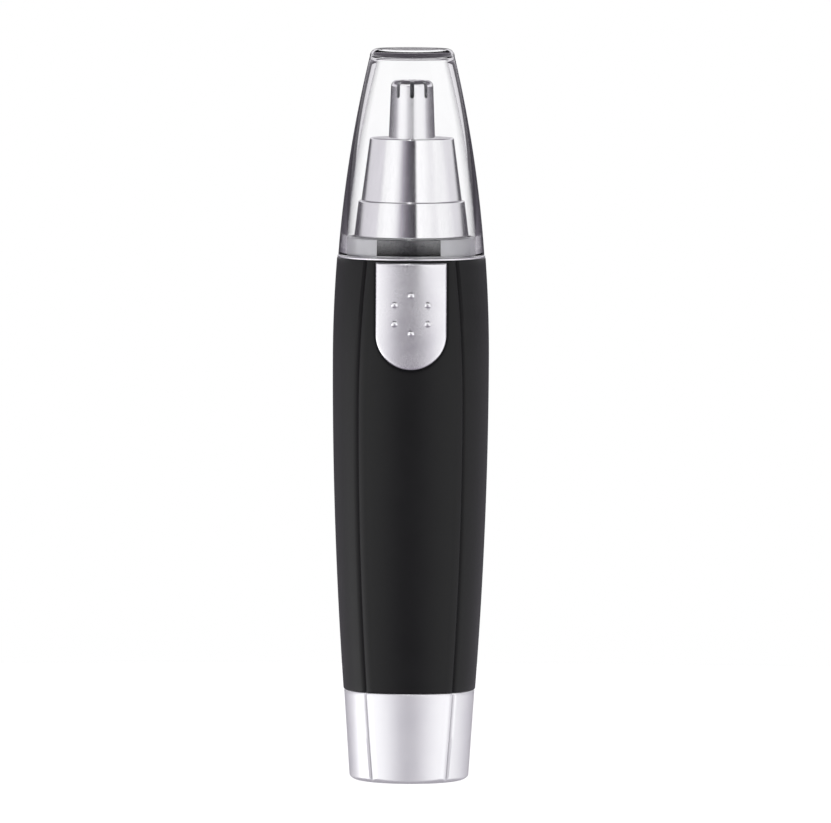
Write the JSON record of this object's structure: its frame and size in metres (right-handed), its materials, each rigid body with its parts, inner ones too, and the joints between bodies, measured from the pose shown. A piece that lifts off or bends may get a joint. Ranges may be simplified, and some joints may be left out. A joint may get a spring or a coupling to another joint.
{
  "type": "nose hair trimmer",
  "caption": "Battery nose hair trimmer: bowed black body, silver screw-type battery door, sliding thumb switch, slotted guard tube and clear cap.",
  "frame": {"origin": "centre of the bottom face, on the trimmer's long axis", "axes": "+Z along the long axis towards the clear cap, -Y towards the thumb switch, +X to the right as seen from the switch side"},
  "size_m": [0.0288, 0.0293, 0.135],
  "materials": {
    "clear_plastic": "clear, polished",
    "silver_metal": "fine lengthwise brushed, clear lacquer",
    "guard_steel": "turned, semi-bright",
    "blade_steel": "ground",
    "spring_steel": "drawn wire",
    "white_acetal": "moulded, smooth",
    "grey_acetal": "moulded, smooth",
    "silver_plastic": "satin silver lacquer",
    "neck_plastic": "satin silver lacquer",
    "black_shell": "soft-touch black",
    "black_gloss": "moulded, semi-gloss black",
    "window_plastic": "moulded, semi-gloss dark grey",
    "black_inner": "moulded, fine grain",
    "screw_steel": "zinc plated",
    "shaft_steel": "ground",
    "can_steel": "nickel plated",
    "core_steel": "stacked sheet steel",
    "copper_wire": "enamelled copper",
    "copper_bar": "turned copper",
    "sintered_bronze": "sintered, oiled",
    "ferrite": "sintered ferrite",
    "end_plastic": "moulded, natural",
    "contact_brass": "plain strip",
    "contact_nickel": "nickel plated strip",
    "foam": "closed-cell foam",
    "seal_rubber": "smooth",
    "cell_steel": "bare nickel-plated can",
    "cell_film": "plain shrink film"
  },
  "bodies": {
    "housing": {"body_shell": "black_shell", "neck_collar": "neck_plastic", "neck_window": "window_plastic", "inner_frame": "black_inner", "motor_screws": "screw_steel", "motor_can": "can_steel", "motor_end_cap": "end_plastic", "motor_terminals": "contact_nickel", "motor_bushes": "sintered_bronze", "motor_magnets": "ferrite", "motor_brushes": "contact_brass", "motor_pad": "foam", "positive_strip": "contact_nickel", "motor_lead_strip": "contact_nickel", "negative_strip": "contact_nickel"},
    "rotor": {"motor_shaft": "shaft_steel", "drive_coupling": "white_acetal", "armature_core": "core_steel", "armature_windings": "copper_wire", "commutator": "copper_bar"},
    "switch": {"switch_button": "silver_plastic", "switch_tray": "black_gloss", "switch_slider": "black_inner", "switch_contact": "contact_brass"},
    "carrier": {"spindle_carrier": "grey_acetal"},
    "cutter": {"cutter_spindle": "white_acetal", "cutter_blade": "blade_steel", "cutter_spring": "spring_steel"},
    "head": {"head_cone": "silver_metal", "head_base_ring": "silver_metal", "guard_tube": "guard_steel", "carrier_clip": "spring_steel"},
    "cap": {"protective_cap": "clear_plastic"},
    "battery": {"battery_cell": "cell_steel", "battery_jacket": "cell_film"},
    "battery_door": {"bottom_cap": "silver_plastic", "cap_insert": "black_inner", "cap_contact": "contact_nickel", "battery_spring": "spring_steel", "door_seal": "seal_rubber"}
  },
  "joints": [
    {"name": "motor_spin", "type": "hinge", "parent": "housing", "child": "rotor", "pos_m": [0, 0, 0.08], "axis": [0, 0, 1], "continuous": true},
    {"name": "switch_slide", "type": "slide", "parent": "housing", "child": "switch", "axis": [0, 0, -1], "range_m": [0, 0.003]},
    {"name": "head_lift", "type": "slide", "parent": "housing", "child": "carrier", "axis": [0, 0, 1], "range_m": [0, 0.03]},
    {"name": "cutter_spin", "type": "hinge", "parent": "carrier", "child": "cutter", "pos_m": [0, 0, 0.11], "axis": [0, 0, 1], "continuous": true},
    {"name": "head_twist", "type": "hinge", "parent": "carrier", "child": "head", "pos_m": [0, 0, 0.1], "axis": [0, 0, 1], "range_deg": [-30, 0]},
    {"name": "cap_pull", "type": "slide", "parent": "head", "child": "cap", "axis": [0, 0, 1], "range_m": [0, 0.045]},
    {"name": "battery_pull", "type": "slide", "parent": "housing", "child": "battery", "axis": [0, 0, -1], "range_m": [0, 0.045]},
    {"name": "door_twist", "type": "hinge", "parent": "battery", "child": "battery_door", "pos_m": [0, 0, 0.01], "axis": [0, 0, 1], "range_deg": [0, 30]}
  ],
  "couplings": [
    {"joint": "cutter_spin", "follows": "motor_spin", "ratio": 1}
  ]
}
